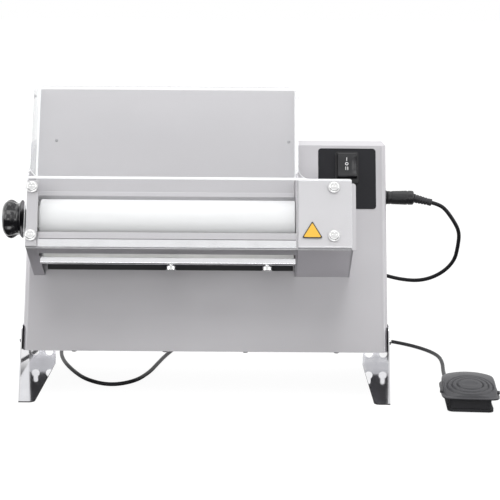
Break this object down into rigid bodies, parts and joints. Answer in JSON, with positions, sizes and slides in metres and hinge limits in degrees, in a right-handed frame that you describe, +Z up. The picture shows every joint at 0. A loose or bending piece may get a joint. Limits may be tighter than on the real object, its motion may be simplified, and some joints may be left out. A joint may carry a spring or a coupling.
{
  "type": "dough sheeter",
  "caption": "Table-top dough sheeter: slanted casing with a feed chute, clear shield and white rollers, a gap knob and switch, on bent feet, with a corded foot pedal.",
  "frame": {"origin": "under the middle of machine and foot pedal, at table height", "axes": "+X to the machine's right seen from the operator, +Y to the back, +Z up; the operator stands on the -Y side"},
  "size_m": [0.6228, 0.3745, 0.3905],
  "materials": {
    "stainless": "brushed sheet",
    "polished_steel": "bright, mirror-like",
    "screw_steel": "bright zinc",
    "white_nylon": "matte",
    "shaft_steel": "ground",
    "roller_white": "turned, satin",
    "bronze": "sintered",
    "gear_steel": "machined",
    "cast_alloy": "as cast",
    "motor_paint": "satin grey",
    "white_plastic": "matte",
    "clear_sheet": "clear polycarbonate",
    "black_plastic": "satin",
    "label_grey": "printed film",
    "label_yellow": "printed film",
    "gloss_black": "gloss",
    "pedal_plastic": "fine matte texture",
    "black_rubber": "matte",
    "spring_steel": "drawn wire",
    "cord_jacket": "matte PVC"
  },
  "bodies": {
    "frame": {"casing": "stainless", "rear_cover": "stainless", "bottom_plate": "stainless", "casing_screws": "screw_steel", "left_leg_bracket": "polished_steel", "right_leg_bracket": "polished_steel", "leg_bolts": "screw_steel", "head_left_plate": "stainless", "head_inner_plate": "stainless", "head_outer_plate": "stainless", "gear_cover": "stainless", "front_crossbar": "stainless", "scraper_bar": "stainless", "scraper_screws": "screw_steel", "front_scraper": "white_nylon", "rear_scraper": "white_nylon", "cam_pads": "white_nylon", "slide_guides": "shaft_steel", "rear_bushes": "bronze", "gearbox": "cast_alloy", "motor": "motor_paint", "motor_bracket": "stainless", "motor_capacitor": "white_plastic", "control_box": "white_plastic", "shield_front": "clear_sheet", "hopper_side_left": "clear_sheet", "hopper_side_right": "clear_sheet", "hopper_fixings": "screw_steel", "chute": "stainless", "chute_brackets": "stainless", "shield_screws": "screw_steel", "shield_washers": "screw_steel", "control_label": "label_grey", "switch_body": "black_plastic", "triangle_label": "label_yellow", "pedal_socket": "black_plastic", "mains_gland": "black_plastic", "pedal_base": "pedal_plastic", "pedal_feet": "black_rubber", "pedal_spring": "spring_steel", "pedal_switch": "black_plastic", "pedal_strain_relief": "black_rubber", "cord_plug": "black_plastic", "plug_strain_relief": "black_rubber", "pedal_cord": "cord_jacket"},
    "rear_roller_set": {"rear_roller": "roller_white", "rear_shaft": "shaft_steel", "rear_roller_gear": "gear_steel", "drive_gear": "gear_steel"},
    "carriage": {"slide_blocks": "white_nylon"},
    "front_roller_set": {"front_roller": "roller_white", "front_shaft": "shaft_steel", "front_roller_gear": "gear_steel"},
    "knob_set": {"gap_knob": "gloss_black", "cam_shaft": "shaft_steel"},
    "gearbox_output": {"output_shaft": "shaft_steel", "pinion": "gear_steel"},
    "rocker": {"switch_rocker": "black_plastic"},
    "pedal_top": {"pedal_cover": "pedal_plastic", "pedal_pins": "shaft_steel"}
  },
  "joints": [
    {"name": "rear_roller_spin", "type": "hinge", "parent": "frame", "child": "rear_roller_set", "pos_m": [-0.05739, 0.02351, 0.20725], "axis": [1, 0, 0], "continuous": true},
    {"name": "carriage_slide", "type": "slide", "parent": "frame", "child": "carriage", "axis": [0, -0.9336, 0.3584], "range_m": [0, 0.004]},
    {"name": "front_roller_spin", "type": "hinge", "parent": "carriage", "child": "front_roller_set", "pos_m": [-0.05739, -0.0242, 0.22556], "axis": [1, 0, 0], "continuous": true},
    {"name": "knob_turn", "type": "hinge", "parent": "carriage", "child": "knob_set", "pos_m": [-0.05739, -0.0242, 0.22556], "axis": [1, 0, 0], "range_deg": [0, 270]},
    {"name": "output_spin", "type": "hinge", "parent": "frame", "child": "gearbox_output", "pos_m": [-0.05739, 0.04251, 0.14896], "axis": [1, 0, 0], "continuous": true},
    {"name": "switch_rock", "type": "hinge", "parent": "frame", "child": "rocker", "pos_m": [-0.05739, 0.03912, 0.28726], "axis": [1, 0, 0], "range_deg": [-12, 12]},
    {"name": "pedal_press", "type": "slide", "parent": "frame", "child": "pedal_top", "axis": [0, 0, -1], "range_m": [0, 0.004], "stiffness_N_per_m": 2500, "springref_m": -0.004, "deforming": ["pedal_spring"]}
  ],
  "couplings": [
    {"joint": "front_roller_spin", "follows": "rear_roller_spin", "ratio": -1},
    {"joint": "output_spin", "follows": "rear_roller_spin", "ratio": -1.8824},
    {"joint": "knob_turn", "follows": "carriage_slide", "rad_per_m": 1178}
  ]
}
